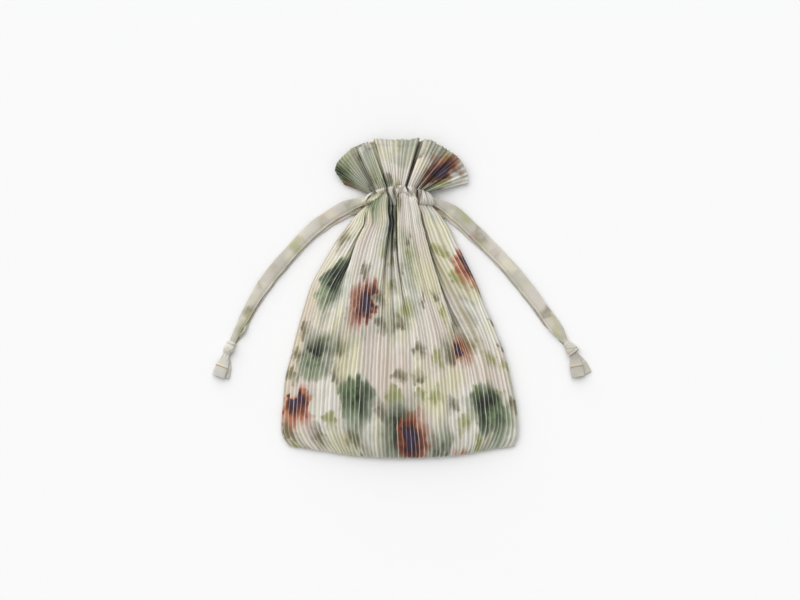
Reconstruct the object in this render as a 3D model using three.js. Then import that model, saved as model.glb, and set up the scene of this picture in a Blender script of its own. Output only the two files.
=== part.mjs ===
// A pleated drawstring bag lying on its back: a hollow pouch, the gathered casing round its neck,
// a fanned frill above it, and a pair of flat ties on each side with a knot and two hemmed tails.
// Millimetres. +Z is up from the surface it lies on, +Y runs from the base seam to the frill.

import * as THREE from "three";
import { LoftGeometry } from "three/addons/geometries/LoftGeometry.js";
import { mergeVertices } from "three/addons/utils/BufferGeometryUtils.js";

// Cloth
const PLEATS = 58;
const PLEAT_STEEPNESS = 0.7;
const WALL = 1.8;
const SIDE_WALL = 1.4;
const SIDE_ROUND = 1.6;
const CROWN_POWER = 3;
const SEAM_GAP = 0.3;
const WELD = 1e-3;

// Pouch sections from the base edge up to the neck. The sag drops a section's middle below its ends,
// and the pleat column is the share of the full pleat depth.
const POUCH_ROWS = [
  { name: "lip edge", y: -148.5, sag: 12, left: 109, right: 113.5, height: 0, edge: 0, pleat: 0 },
  { name: "base seam", y: -145, sag: 11, left: 114, right: 116, height: 2.4, edge: 2.4, pleat: 0 },
  { name: "corner", y: -139, sag: 8, left: 118, right: 118.5, height: 9, edge: 5.5, pleat: 0.6 },
  { name: "low belly", y: -124, sag: 3, left: 119.5, right: 119.5, height: 18, edge: 7, pleat: 1 },
  { name: "belly", y: -80, sag: 0, left: 115.5, right: 111.5, height: 24, edge: 7, pleat: 1 },
  { name: "waist", y: -30, sag: 0, left: 103, right: 96, height: 24, edge: 7, pleat: 1 },
  { name: "shoulder", y: 15.5, sag: 0, left: 88.5, right: 76.5, height: 23.5, edge: 7, pleat: 1 },
  { name: "high shoulder", y: 50, sag: 0, left: 69.5, right: 61, height: 23, edge: 7, pleat: 1 },
  { name: "flare", y: 78, sag: 0, left: 49, right: 44.5, height: 23.5, edge: 7, pleat: 1 },
  { name: "neck", y: 92.5, sag: 0, left: 31.5, right: 32, height: 24, edge: 7, pleat: 1 },
];
const LINED_ROWS = ["neck", "flare", "high shoulder", "shoulder", "belly", "low belly"];
const HOLLOW_END = { name: "hollow end", y: -136.5, sag: 7, left: 112, right: 113, height: 3.5 };

// Folds of the pouch's front. Cloth is the place across the cloth and neck the place across the neck,
// each from -1 at the left side to 1 at the right. Release is how far below the neck a fold runs out.
const FRONT_FOLDS = [
  { cloth: -1, neck: -1, depth: 0, release: 60 },
  { cloth: -0.88, neck: -0.9, depth: 0, release: 90 },
  { cloth: -0.76, neck: -0.8, depth: 4.5, release: 110 },
  { cloth: -0.62, neck: -0.7, depth: 0, release: 110 },
  { cloth: -0.22, neck: -0.37, depth: 0, release: 130 },
  { cloth: -0.05, neck: -0.25, depth: 5, release: 150 },
  { cloth: 0.12, neck: -0.13, depth: 0, release: 130 },
  { cloth: 0.72, neck: 0.45, depth: 0, release: 150 },
  { cloth: 0.84, neck: 0.57, depth: 4.5, release: 170 },
  { cloth: 0.92, neck: 0.7, depth: 0, release: 120 },
  { cloth: 1, neck: 1, depth: 0, release: 60 },
];

// Frill: it fans out from one point, between the casing and its free edge.
const FAN_CENTRE_X = 0.5;
const FAN_CENTRE_Y = 87.5;
const FAN_LEFT = -62;
const FAN_RIGHT = 67;
const FRILL_START = 22;
const FRILL_START_SIDE = 12;
const FRILL_NECK_HEIGHT = 23;
const FRILL_SIDE_HEIGHT = 7;
const FRILL_BACK_SHORT = 4.5;
const FRILL_STEPS = 2;

// Folds of the frill's front: the place across the cloth, the fan angle, and the height and the
// distance from the fan's centre of the free edge there.
const FRILL_FOLDS = [
  { cloth: -1, fan: -62, lift: 7, reach: 71 },
  { cloth: -0.9, fan: -58, lift: 10, reach: 77.5 },
  { cloth: -0.7, fan: -46, lift: 13, reach: 80 },
  { cloth: -0.52, fan: -35.5, lift: 11, reach: 78 },
  { cloth: -0.42, fan: -31, lift: 17, reach: 77 },
  { cloth: -0.16, fan: -21, lift: 15, reach: 76 },
  { cloth: -0.06, fan: -17, lift: 20.5, reach: 76 },
  { cloth: 0.12, fan: -2, lift: 20.5, reach: 71.5 },
  { cloth: 0.31, fan: 12, lift: 20, reach: 73 },
  { cloth: 0.42, fan: 17.5, lift: 15, reach: 71.5 },
  { cloth: 0.55, fan: 26, lift: 17, reach: 74.5 },
  { cloth: 0.76, fan: 46, lift: 13, reach: 79 },
  { cloth: 0.93, fan: 61, lift: 10, reach: 76 },
  { cloth: 1, fan: 67, lift: 7, reach: 72 },
];

// Casing: puffs between its two stitch lines, split by creases at these places across the neck.
const PUFF_CREASES = [-1, -0.6, -0.38, 0.08, 0.38, 1];
const PUFF_STEPS = 5;
const PUFF_HEIGHT = 3.4;
const PUFF_BACK = 2;
const CASING_SIDE_PUFF = 3;
const CASING_ROWS = [
  { along: 0, puff: 0 },
  { along: 0.3, puff: 1 },
  { along: 0.7, puff: 1 },
  { along: 1, puff: 0 },
];

// Ties: flat tapes with their exits at the casing, lying down on the surface to the knots
const TIE_WIDTH = 14;
const TIE_EXIT_WIDTH = 8;
const TIE_KNOT_WIDTH = 9.5;
const TIE_TAPER = 20;
const TIE_THICK = 1.6;
const TIE_STEPS = 14;
const TIE_REST = 0.05;
const TIE_LAYER_GAP = 0.25;
const TIE_BACK_SHIFT = 2;
const TIE_DROP = 55;
const TIE_EXIT_FRONT = 5.4;
const TIE_EXIT_BACK = 2.6;
const LEFT_ROUTE = [
  [-34.8, 97.2],
  [-67.5, 83.5],
  [-97, 59.5],
  [-120, 34.5],
  [-144.5, 1.5],
  [-160.5, -29.5],
  [-167.6, -43.1],
];
const RIGHT_ROUTE = [
  [35.9, 95.7],
  [60, 80.5],
  [84.5, 56.5],
  [112.5, 27.5],
  [135.5, -1.5],
  [156.5, -30.5],
  [166.1, -44.1],
];

// Knots and hemmed tails, in sections along the tie
const KNOT_POINTS = 12;
const KNOT_ROWS = [
  { along: -6.8, half: 5, tall: 4 },
  { along: -4.2, half: 6.3, tall: 7.4 },
  { along: 0.5, half: 6.2, tall: 8.2 },
  { along: 4, half: 5, tall: 6.8 },
  { along: 6.8, half: 3.4, tall: 5.2 },
];
const TAIL_ROWS = [
  { along: 0, half: 3.2, thick: 1.8 },
  { along: 6, half: 5.2, thick: 1.8 },
  { along: 14, half: 6.6, thick: 1.8 },
  { along: 15, half: 6.8, thick: 2.4 },
  { along: 25.5, half: 6.4, thick: 2.4 },
];
const TAIL_FRONT_HEIGHT = 2.7;
const TAPE_EDGE = 0.12;
const ENDS = [
  { side: "left", at: [-171.3, -49.6], turn: 149, front: 9, back: 22 },
  { side: "right", at: [170.6, -49.8], turn: -142, front: -18, back: -6 },
];

// Colours
const CLOTH = { color: 0xc6c5af, roughness: 0.85, metalness: 0 };
const FRILL_CLOTH = { color: 0x9da891, roughness: 0.85, metalness: 0 };
const TIE_CLOTH = { color: 0xc9c2b8, roughness: 0.9, metalness: 0 };

const bag = new THREE.Group();
bag.name = "pleated_bag";

function ease(t) {
  const clamped = THREE.MathUtils.clamp(t, 0, 1);
  return clamped * clamped * (3 - 2 * clamped);
}

// Welds a surface's shared points and drops the slivers that the weld closes up
function weld(surface) {
  const plain = new THREE.BufferGeometry();
  plain.setAttribute("position", surface.getAttribute("position"));
  plain.setIndex(surface.getIndex());
  const welded = mergeVertices(plain, WELD);
  const index = welded.getIndex();
  const kept = [];
  for (let i = 0; i < index.count; i += 3) {
    const [a, b, c] = [index.getX(i), index.getX(i + 1), index.getX(i + 2)];
    if (a !== b && b !== c && c !== a) {
      kept.push(a, b, c);
    }
  }
  welded.setIndex(kept);
  welded.computeVertexNormals();
  return welded;
}

function addPiece(parent, name, geometry, look) {
  const mesh = new THREE.Mesh(geometry, new THREE.MeshStandardMaterial(look));
  mesh.name = name;
  parent.add(mesh);
  return mesh;
}

// The two rows of a table on either side of a place across the cloth, and the share between them
function between(table, cloth) {
  const high = table.findIndex((row, i) => i > 0 && row.cloth >= cloth);
  const from = table[high - 1];
  const to = table[high];
  return { from, to, share: (cloth - from.cloth) / (to.cloth - from.cloth) };
}

function mix(from, to, share) {
  return THREE.MathUtils.lerp(from, to, share);
}

// Where a place across the cloth lies across the front, and how deep in a fold, below the neck
function folded(cloth, below) {
  const { from, to, share } = between(FRONT_FOLDS, cloth);
  const places = [from, to].map((row) => mix(row.neck, row.cloth, ease(below / row.release)));
  const depths = [from, to].map((row) => row.depth * (1 - ease(below / row.release)));
  return { across: mix(places[0], places[1], share), depth: mix(depths[0], depths[1], ease(share)) };
}

function crown(row, across) {
  return row.edge + (row.height - row.edge) * (1 - Math.abs(across) ** CROWN_POWER);
}

// Places across the cloth, ridge and valley in turn: each with its sign of pleat
function pleatPlaces() {
  const places = [];
  for (let i = 0; i <= 2 * PLEATS; i += 1) {
    places.push({ cloth: i / PLEATS - 1, ridge: i % 2 === 0 ? 1 : -1 });
  }
  return places;
}

// A closed section: the front from left to right, the right side, the back again, the left side
function closeSection(front, back, side) {
  const right = front.at(-1).clone().lerp(back.at(-1), 0.5);
  const left = front[0].clone().lerp(back[0], 0.5);
  right.x += side;
  left.x -= side;
  return [...front, right, ...back.toReversed(), left];
}

function pouchSection(row, lining) {
  const neck = POUCH_ROWS.at(-1);
  const below = neck.y - row.y;
  const inset = lining ? SIDE_WALL : 0;
  const lift = lining ? WALL : 0;
  const depth = (row.pleat * PLEAT_STEEPNESS * (row.left + row.right)) / (2 * PLEATS);
  const front = [];
  const back = [];
  for (const { cloth, ridge } of pleatPlaces()) {
    const fold = folded(cloth, below);
    const widthAt = (across) => across * ((across < 0 ? row.left : row.right) - SIDE_ROUND - inset);
    const y = row.y - row.sag * (1 - cloth * cloth);
    const top = crown(row, fold.across) - fold.depth + (ridge * depth) / 2;
    const under = (depth * (1 - ridge)) / 2;
    front.push(new THREE.Vector3(widthAt(fold.across), y, top - lift));
    back.push(new THREE.Vector3(widthAt(cloth), y, under + lift));
  }
  return closeSection(front, back, SIDE_ROUND);
}

// A section drawn flat to one line, where the front and the back of the cloth meet
function closedLine(row) {
  const line = pleatPlaces().map(({ cloth }) => {
    const x = cloth * (cloth < 0 ? row.left : row.right);
    return new THREE.Vector3(x, row.y - row.sag * (1 - cloth * cloth), row.height);
  });
  return closeSection(line, line, 0);
}

function pouch() {
  const [lip, ...rows] = POUCH_ROWS;
  const outer = rows.map((row) => pouchSection(row, false));
  const inner = LINED_ROWS.map((name) => pouchSection(POUCH_ROWS.find((row) => row.name === name), true));
  return weld(new LoftGeometry([closedLine(lip), ...outer, ...inner, closedLine(HOLLOW_END)]));
}

function fanPoint(fan, reach, height) {
  const turn = THREE.MathUtils.degToRad(fan);
  const x = FAN_CENTRE_X + reach * Math.sin(turn);
  return new THREE.Vector3(x, FAN_CENTRE_Y + reach * Math.cos(turn), height);
}

function fanAt(across) {
  return mix(FAN_LEFT, FAN_RIGHT, (across + 1) / 2);
}

function frillStart(fan) {
  return FRILL_START + FRILL_START_SIDE * (fan / FAN_RIGHT) ** 2;
}

function frillNeck(across) {
  return FRILL_SIDE_HEIGHT + (FRILL_NECK_HEIGHT - FRILL_SIDE_HEIGHT) * (1 - Math.abs(across) ** CROWN_POWER);
}

// A section of the frill at a share of the way from the casing to the free edge
function frillSection(along, lining) {
  const front = [];
  const back = [];
  const lift = lining ? WALL : 0;
  const inset = lining ? SIDE_WALL : 0;
  for (const { cloth, ridge } of pleatPlaces()) {
    const { from, to, share } = between(FRILL_FOLDS, cloth);
    const atEdge = (column) => mix(from[column], to[column], column === "lift" ? ease(share) : share);
    const fan = mix(fanAt(cloth), atEdge("fan"), along);
    const reach = mix(frillStart(fan), atEdge("reach"), along);
    const spread = THREE.MathUtils.degToRad(FAN_RIGHT - FAN_LEFT) * reach;
    const depth = (PLEAT_STEEPNESS * spread) / (2 * PLEATS);
    const top = mix(frillNeck(cloth), atEdge("lift"), along) + (ridge * depth) / 2;
    const trim = 1 - inset / reach;
    front.push(fanPoint(fan * trim, reach, top - lift));
    const backReach = mix(frillStart(fanAt(cloth)), reach - FRILL_BACK_SHORT, along);
    back.push(fanPoint(fanAt(cloth) * trim, backReach, (depth * (1 - ridge)) / 2 + lift));
  }
  return closeSection(front, back, SIDE_ROUND);
}

function frill() {
  const outer = [];
  for (let step = 0; step <= FRILL_STEPS; step += 1) {
    outer.push(frillSection(step / FRILL_STEPS, false));
  }
  const inner = [frillSection(1, true), frillSection(0, true)];
  return weld(new LoftGeometry([...outer, ...inner, outer[0]]));
}

// Places across the casing: each puff swells between its two creases
function puffPlaces() {
  const places = [];
  PUFF_CREASES.slice(0, -1).forEach((crease, puff) => {
    for (let step = 0; step < PUFF_STEPS; step += 1) {
      const share = step / PUFF_STEPS;
      places.push({ across: mix(crease, PUFF_CREASES[puff + 1], share), swell: Math.sin(Math.PI * share) });
    }
  });
  places.push({ across: 1, swell: 0 });
  return places;
}

function casingSection({ along, puff }, lining) {
  const neck = POUCH_ROWS.at(-1);
  const front = [];
  const back = [];
  const lift = lining ? WALL : 0;
  const inset = lining ? SIDE_WALL : 0;
  for (const { across, swell } of puffPlaces()) {
    const half = (across < 0 ? neck.left : neck.right) - SIDE_ROUND;
    const low = new THREE.Vector3(across * half, neck.y + SEAM_GAP, crown(neck, across));
    const fan = fanAt(across);
    const high = fanPoint(fan, frillStart(fan) - SEAM_GAP, frillNeck(across));
    const point = low.lerp(high, along);
    point.x *= 1 + (CASING_SIDE_PUFF * puff) / half - inset / half;
    const top = point.z + PUFF_HEIGHT * puff * (swell - 0.5) - lift;
    front.push(new THREE.Vector3(point.x, point.y, top));
    back.push(new THREE.Vector3(point.x, point.y, PUFF_BACK * (1 - swell * puff) + lift));
  }
  return closeSection(front, back, SIDE_ROUND);
}

function casing() {
  const outer = CASING_ROWS.map((row) => casingSection(row, false));
  const inner = CASING_ROWS.toReversed().map((row) => casingSection(row, true));
  return weld(new LoftGeometry([...outer, ...inner, outer[0]]));
}

// A tie follows its route at a height that falls from the casing to where it lies
function tieCurve(route, exitHeight, restHeight, shift) {
  const start = new THREE.Vector2(...route[0]);
  const points = route.map(([x, y], i) => {
    const [nextX, nextY] = route[Math.min(i + 1, route.length - 1)];
    const [lastX, lastY] = route[Math.max(i - 1, 0)];
    const way = new THREE.Vector2(nextX - lastX, nextY - lastY).normalize();
    const inward = Math.sign(-x);
    const fall = ease(start.distanceTo(new THREE.Vector2(x, y)) / TIE_DROP);
    const height = mix(exitHeight, restHeight, fall);
    const aside = shift * fall;
    return new THREE.Vector3(x + aside * inward * Math.abs(way.y), y - aside * Math.abs(way.x), height);
  });
  return new THREE.CatmullRomCurve3(points);
}

function tapePoints(half, thick) {
  const shoulder = half * (1 - TAPE_EDGE);
  return [
    [-half, 0],
    [-shoulder, thick / 2],
    [shoulder, thick / 2],
    [half, 0],
    [shoulder, -thick / 2],
    [-shoulder, -thick / 2],
  ];
}

// A tape that is drawn narrow where it leaves the casing and where it enters the knot
function tie(route, exitHeight, restHeight, shift) {
  const curve = tieCurve(route, exitHeight, restHeight, shift);
  const length = curve.getLength();
  const sections = [];
  for (let step = 0; step <= TIE_STEPS; step += 1) {
    const along = step / TIE_STEPS;
    const point = curve.getPointAt(along);
    const way = curve.getTangentAt(along);
    const aside = new THREE.Vector3(way.y, -way.x, 0).normalize();
    const fromExit = mix(TIE_EXIT_WIDTH, TIE_WIDTH, ease((along * length) / TIE_TAPER));
    const toKnot = mix(TIE_KNOT_WIDTH, TIE_WIDTH, ease(((1 - along) * length) / TIE_TAPER));
    const half = Math.min(fromExit, toKnot) / 2;
    sections.push(
      tapePoints(half, TIE_THICK).map(([x, z]) => {
        const corner = point.clone().addScaledVector(aside, x);
        corner.z += z;
        return corner;
      }),
    );
  }
  return weld(new LoftGeometry(sections, { capStart: true, capEnd: true }));
}

function knot() {
  const sections = KNOT_ROWS.map(({ along, half, tall }) => {
    const ring = [];
    for (let i = 0; i < KNOT_POINTS; i += 1) {
      const turn = Math.PI - (2 * Math.PI * i) / KNOT_POINTS;
      ring.push(new THREE.Vector3(half * Math.cos(turn), along, (tall / 2) * (1 + Math.sin(turn))));
    }
    return ring;
  });
  return weld(new LoftGeometry(sections, { capStart: true, capEnd: true }));
}

function tail() {
  const sections = TAIL_ROWS.map(({ along, half, thick }) =>
    tapePoints(half, thick).map(([x, z]) => new THREE.Vector3(x, along, z + thick / 2)),
  );
  return weld(new LoftGeometry(sections, { capStart: true, capEnd: true }));
}

addPiece(bag, "pouch", pouch(), CLOTH);
addPiece(bag, "casing", casing(), CLOTH);
addPiece(bag, "frill", frill(), FRILL_CLOTH);

const layBack = TIE_REST + TIE_THICK / 2;
const layFront = layBack + TIE_THICK + TIE_LAYER_GAP;
for (const [side, route] of [["left", LEFT_ROUTE], ["right", RIGHT_ROUTE]]) {
  addPiece(bag, `tie_${side}_front`, tie(route, TIE_EXIT_FRONT, layFront, 0), TIE_CLOTH);
  addPiece(bag, `tie_${side}_back`, tie(route, TIE_EXIT_BACK, layBack, TIE_BACK_SHIFT), TIE_CLOTH);
}

for (const { side, at, turn, front, back } of ENDS) {
  const end = new THREE.Group();
  end.position.set(at[0], at[1], 0);
  end.rotation.z = THREE.MathUtils.degToRad(turn);
  addPiece(end, `knot_${side}`, knot(), TIE_CLOTH);
  for (const [layer, height, swing] of [["front", TAIL_FRONT_HEIGHT, front], ["back", 0, back]]) {
    const hem = addPiece(end, `tail_${side}_${layer}`, tail(), TIE_CLOTH);
    const angle = THREE.MathUtils.degToRad(swing);
    const clear = SEAM_GAP + TAIL_ROWS[0].half * Math.abs(Math.sin(angle));
    hem.position.set(0, KNOT_ROWS.at(-1).along + clear, height);
    hem.rotation.z = angle;
  }
  bag.add(end);
}

export default bag;
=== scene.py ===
"""Pleated drawstring bag lying on its back: printed cloth, a gathered neck, a frill and knotted ties."""

import math
from collections import namedtuple

import bmesh
import bpy
import numpy as np
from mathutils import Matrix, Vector


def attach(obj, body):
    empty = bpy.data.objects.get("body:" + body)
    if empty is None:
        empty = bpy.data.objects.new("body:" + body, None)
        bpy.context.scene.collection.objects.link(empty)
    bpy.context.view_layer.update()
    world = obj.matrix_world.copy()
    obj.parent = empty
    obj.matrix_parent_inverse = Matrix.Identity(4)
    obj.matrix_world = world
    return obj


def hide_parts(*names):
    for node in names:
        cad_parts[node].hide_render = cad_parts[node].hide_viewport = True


bl_info = {
    "name": "Pleated drawstring bag",
    "version": (1, 0, 0),
    "blender": (4, 5, 0),
    "location": "View3D > Sidebar > Bag",
    "description": "Dresses a pleated drawstring bag with cloth, a frill and knotted ties",
    "category": "Object",
}

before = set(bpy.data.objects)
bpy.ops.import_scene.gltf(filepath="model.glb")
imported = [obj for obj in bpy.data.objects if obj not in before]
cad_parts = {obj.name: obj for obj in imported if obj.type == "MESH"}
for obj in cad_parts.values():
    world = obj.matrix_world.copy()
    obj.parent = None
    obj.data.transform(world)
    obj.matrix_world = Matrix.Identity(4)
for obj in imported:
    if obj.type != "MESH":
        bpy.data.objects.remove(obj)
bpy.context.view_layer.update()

MM = 0.001

# Millimetres of cloth to one unit of a UV map, and the distance in metres that closes a seam
CLOTH_UNIT = 100.0
WELD = 1e-6


def paint(red, green, blue):
    """A screen colour from 0 to 255 as the linear colour that a shader takes."""
    shares = [channel / 255 for channel in (red, green, blue)]
    return tuple(s / 12.92 if s <= 0.04045 else ((s + 0.055) / 1.055) ** 2.4 for s in shares)


# Pouch sections from the neck down to the base edge, in millimetres
BodyRow = namedtuple("BodyRow", "y left right height edge sag pleat")
BODY_ROWS = [
    BodyRow(95.5, 33.0, 31.5, 20.5, 4.5, 0.0, 0.6),
    BodyRow(92.5, 34.5, 32.5, 21.5, 4.5, 0.0, 0.7),
    BodyRow(81.5, 45.5, 42.0, 21.5, 4.5, 0.0, 0.85),
    BodyRow(69.5, 55.0, 50.5, 21.5, 4.5, 0.0, 1.0),
    BodyRow(57.5, 64.0, 56.0, 21.5, 4.5, 0.0, 1.0),
    BodyRow(39.5, 74.5, 64.5, 21.5, 4.5, 0.0, 1.0),
    BodyRow(15.5, 88.0, 76.0, 21.5, 4.5, 0.0, 1.0),
    BodyRow(-8.5, 96.0, 85.5, 22.0, 4.5, 0.0, 1.0),
    BodyRow(-32.5, 103.0, 96.0, 22.0, 4.5, 0.0, 1.0),
    BodyRow(-56.5, 109.0, 105.0, 21.8, 4.5, 0.0, 1.0),
    BodyRow(-80.5, 115.0, 111.0, 21.2, 4.5, 0.0, 1.0),
    BodyRow(-104.5, 117.3, 116.0, 20.0, 4.5, 0.5, 1.0),
    BodyRow(-122.0, 118.8, 118.3, 18.2, 4.4, 3.0, 1.0),
    BodyRow(-133.0, 119.0, 118.8, 15.8, 4.2, 6.0, 0.9),
    BodyRow(-141.0, 116.5, 117.5, 11.8, 3.8, 9.0, 0.7),
    BodyRow(-145.5, 113.0, 115.5, 8.4, 3.4, 11.0, 0.35),
    BodyRow(-148.5, 109.5, 113.0, 4.8, 3.0, 12.0, 0.0),
]

# Pouch: the neck and the lip at the base, the back's width, the depth at which a fold is flat and the depth
# at which its painted shade is full, the least heights of the front and of any cloth, and the painted crest
# highlight along the base edge
NECK_Y = 92.5
LIP_Y = -137.5
LIP_DEEP = 11.0
BACK_NARROW = 0.985
FOLD_FLAT = 9.0
FOLD_DARK = 8.0
FRONT_LEAST = 0.6
LOWEST = 0.05
BASE_RIM = 0.95

# Folds of the pouch's front. Cloth, neck and shoulder are places across, from -1 to 1: on the flat cloth,
# at the neck and a shoulder's depth below it. Depth and rise are at the neck, in millimetres, and the fold
# runs out at its release.
Fold = namedtuple("Fold", "cloth neck shoulder depth rise release")
FRONT_FOLDS = [
    Fold(-1.0, -1.0, -1.0, 2.0, 0.0, 60),
    Fold(-0.92, -0.96, -0.87, 0.0, 0.0, 80),
    Fold(-0.84, -0.9, -0.71, 0.6, 0.0, 95),
    Fold(-0.78, -0.85, -0.655, 8.0, 0.0, 115),
    Fold(-0.69, -0.83, -0.63, 13.5, 0.0, 130),
    Fold(-0.62, -0.87, -0.655, 7.0, 0.0, 125),
    Fold(-0.575, -0.87, -0.65, -0.6, 1.0, 115),
    Fold(-0.43, -0.6, -0.46, -1.2, 7.0, 125),
    Fold(-0.32, -0.46, -0.33, -1.2, 11.5, 130),
    Fold(-0.23, -0.36, -0.225, -0.3, 6.0, 135),
    Fold(-0.17, -0.32, -0.2, 9.0, 0.0, 155),
    Fold(-0.1, -0.26, -0.165, 3.0, -1.0, 130),
    Fold(-0.04, -0.21, -0.13, 9.5, -1.0, 155),
    Fold(0.03, -0.15, -0.085, 3.0, -1.0, 130),
    Fold(0.09, -0.1, -0.05, 9.0, 0.0, 145),
    Fold(0.15, -0.05, -0.025, -0.3, 9.0, 135),
    Fold(0.25, 0.09, 0.09, -1.0, 12.0, 140),
    Fold(0.39, 0.25, 0.25, -1.0, 9.0, 140),
    Fold(0.56, 0.51, 0.445, -0.6, 2.0, 160),
    Fold(0.605, 0.5, 0.44, 7.0, 0.0, 170),
    Fold(0.67, 0.47, 0.42, 14.5, 0.0, 180),
    Fold(0.73, 0.51, 0.455, 9.0, 0.0, 175),
    Fold(0.8, 0.6, 0.53, 0.6, 0.0, 140),
    Fold(0.92, 0.9, 0.84, 0.0, 0.0, 90),
    Fold(1.0, 1.0, 1.0, 2.0, 0.0, 60),
]
SHOULDER = 20.0

# How far the pleats lean sideways where they run into the base seam
Lean = namedtuple("Lean", "cloth shift")
BASE_LEANS = [
    Lean(-1.0, 1.0),
    Lean(-0.75, 8.0),
    Lean(-0.45, 4.0),
    Lean(-0.25, 0.0),
    Lean(0.1, 2.5),
    Lean(0.35, 3.5),
    Lean(0.6, 0.0),
    Lean(0.8, -6.0),
    Lean(1.0, -1.0),
]
LEAN_REACH = 28.0

# Folds of the frill's front: the place on the cloth, the fan angle, and the reach and height of its free
# edge there, then its place across the neck, how far it sinks into the gathers, and how much painted shade
# it gets
FrillFold = namedtuple("FrillFold", "cloth fan reach lift neck sink shade")
FRILL_FOLDS = [
    FrillFold(-1.0, -64.7, 62.4, 3.5, -32.0, 0.0, 0.0),
    FrillFold(-0.94, -60.5, 72.0, 5.5, -31.3, 0.0, 0.0),
    FrillFold(-0.9, -58.2, 76.6, 6.2, -30.7, 0.0, 0.0),
    FrillFold(-0.84, -55.0, 78.5, 7.0, -29.8, 0.0, 0.0),
    FrillFold(-0.7, -44.5, 79.0, 7.5, -27.4, 0.5, 0.2),
    FrillFold(-0.6, -37.0, 78.5, 6.0, -25.2, 3.0, 0.8),
    FrillFold(-0.53, -30.5, 77.0, 3.5, -22.5, 8.0, 0.9),
    FrillFold(-0.48, -26.0, 75.5, 3.0, -21.5, 12.0, 1.0),
    FrillFold(-0.43, -30.5, 75.0, 6.0, -22.5, 7.0, 0.8),
    FrillFold(-0.39, -35.0, 74.0, 9.2, -23.5, 0.0, 0.0),
    FrillFold(-0.3, -29.5, 75.5, 10.0, -20.0, -1.0, 0.0),
    FrillFold(-0.2, -24.6, 75.0, 8.2, -15.0, 0.5, 0.15),
    FrillFold(-0.13, -18.6, 74.0, 5.6, -11.0, 9.0, 0.85),
    FrillFold(-0.09, -13.0, 74.0, 4.5, -10.0, 12.0, 1.0),
    FrillFold(-0.05, -17.0, 75.0, 6.8, -11.0, 5.0, 0.7),
    FrillFold(-0.01, -20.0, 76.5, 10.8, -12.0, 0.0, 0.0),
    FrillFold(0.06, -15.0, 74.0, 11.6, -8.5, -1.0, 0.0),
    FrillFold(0.14, -8.0, 71.4, 11.6, -5.0, -1.0, 0.0),
    FrillFold(0.27, 7.0, 71.0, 11.6, 1.5, -0.5, 0.0),
    FrillFold(0.34, 14.0, 74.5, 10.4, 5.0, 0.0, 0.0),
    FrillFold(0.38, 12.5, 72.5, 6.8, 4.8, 6.0, 0.8),
    FrillFold(0.43, 9.0, 71.0, 4.5, 5.0, 13.0, 1.0),
    FrillFold(0.48, 17.0, 72.5, 4.8, 7.0, 9.0, 0.9),
    FrillFold(0.52, 20.4, 75.5, 9.2, 9.0, 0.0, 0.0),
    FrillFold(0.63, 30.0, 76.0, 9.6, 15.0, -0.5, 0.0),
    FrillFold(0.69, 36.0, 76.5, 8.0, 17.5, 5.0, 0.6),
    FrillFold(0.74, 40.5, 77.0, 7.6, 19.5, 1.0, 0.05),
    FrillFold(0.79, 45.0, 78.0, 6.8, 21.0, 6.5, 0.75),
    FrillFold(0.845, 51.0, 78.0, 6.8, 23.0, 1.0, 0.05),
    FrillFold(0.89, 56.0, 77.5, 7.0, 25.0, 4.5, 0.6),
    FrillFold(0.94, 61.5, 76.4, 6.0, 27.0, 0.0, 0.0),
    FrillFold(1.0, 67.5, 73.4, 3.5, 29.5, 0.0, 0.0),
]

# Frill: the fan's middle, how far the back stays behind and under the front, the curve of the neck, and
# the hem
FAN_X = 0.5
FAN_Y = 87.5
FRILL_BACK_SHORT = 4.5
FRILL_GAP = 2.2
FRILL_BACK_RISE = 0.6
FRILL_NECK_Y = 113.0
FRILL_NECK_DROP = 8.0
FRILL_NECK_HALF = 31.0
FRILL_HEM_AT = 0.86
FRILL_HEM_STEP = 0.45
FRILL_HEM_RUN = 0.02

# Stitches along a crest near each side of the frill, in millimetres, slanting in degrees
SIDE_SEAM_AT = {"left": -0.91, "right": 0.96}
SIDE_SEAM_CREST = 0.75
SIDE_SEAM_START = 7.0
SIDE_SEAM_STOP = 4.0
SIDE_SEAM_STEP = 1.8
SIDE_SEAM_SLANT = 62.0

# Puffs of the casing's front, each from its lower end to its upper end, with its half width at both
Puff = namedtuple("Puff", "low_x low_y high_x high_y low_half high_half height")
PUFFS = [
    Puff(-33.0, 93.0, -28.5, 106.0, 8.0, 5.5, 6.5),
    Puff(-22.5, 91.0, -19.0, 110.0, 2.2, 5.8, 5.5),
    Puff(-8.0, 93.0, -9.5, 113.0, 2.6, 4.6, 4.5),
    Puff(-3.5, 92.0, -1.5, 114.0, 2.2, 4.6, 4.8),
    Puff(7.5, 101.0, 10.5, 112.5, 4.0, 5.2, 4.5),
    Puff(25.0, 91.0, 23.5, 108.5, 9.0, 4.6, 6.8),
    Puff(33.5, 93.5, 29.5, 104.5, 3.6, 3.0, 4.6),
]

# Routes of the ties from the casing to the knots, seen from above
LEFT_ROUTE = [
    (-28.5, 98.2),
    (-34.8, 97.2),
    (-50.5, 92.5),
    (-67.5, 83.5),
    (-83.0, 72.5),
    (-97.0, 59.5),
    (-108.8, 46.8),
    (-120.0, 34.0),
    (-133.0, 17.8),
    (-144.5, 1.0),
    (-152.8, -14.0),
    (-160.5, -29.5),
    (-169.0, -45.8),
]
RIGHT_ROUTE = [
    (29.5, 98.0),
    (35.9, 95.7),
    (47.5, 90.0),
    (60.0, 80.5),
    (72.5, 68.5),
    (84.5, 56.5),
    (99.0, 42.0),
    (112.5, 27.5),
    (123.5, 13.7),
    (135.5, -1.5),
    (146.5, -16.5),
    (156.5, -30.5),
    (167.9, -46.5),
]

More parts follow.
